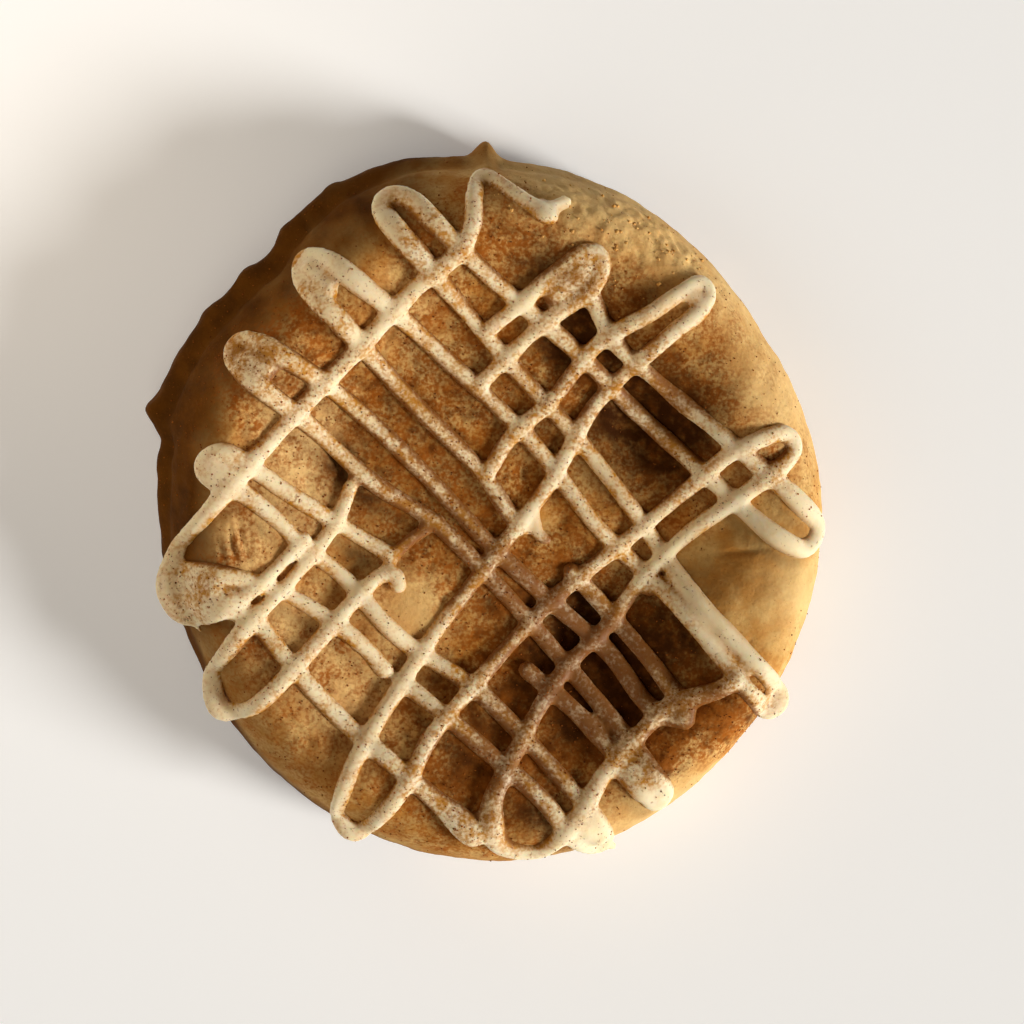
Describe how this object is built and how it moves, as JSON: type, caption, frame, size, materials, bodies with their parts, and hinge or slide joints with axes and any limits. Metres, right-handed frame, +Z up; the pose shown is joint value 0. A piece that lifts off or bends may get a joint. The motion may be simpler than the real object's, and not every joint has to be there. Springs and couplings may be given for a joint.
{
  "type": "spice cookie",
  "caption": "Thick round soft-baked cookie with a sunken top, a spread foot on one side and a crisscross of piped pale icing under a dusting of cinnamon.",
  "frame": {"origin": "middle of the flat bottom that the cookie rests on", "axes": "+Z up out of the iced top, +X to the right and +Y away from the viewer as the iced top is shown"},
  "size_m": [0.0822, 0.0882, 0.0185],
  "materials": {
    "dough": "matt baked crumb, golden tan, browner at the foot",
    "icing": "satin ivory icing, slightly translucent",
    "cinnamon": "matt red-brown ground spice"
  },
  "bodies": {
    "root": {"cookie": "dough"}
  },
  "joints": []
}
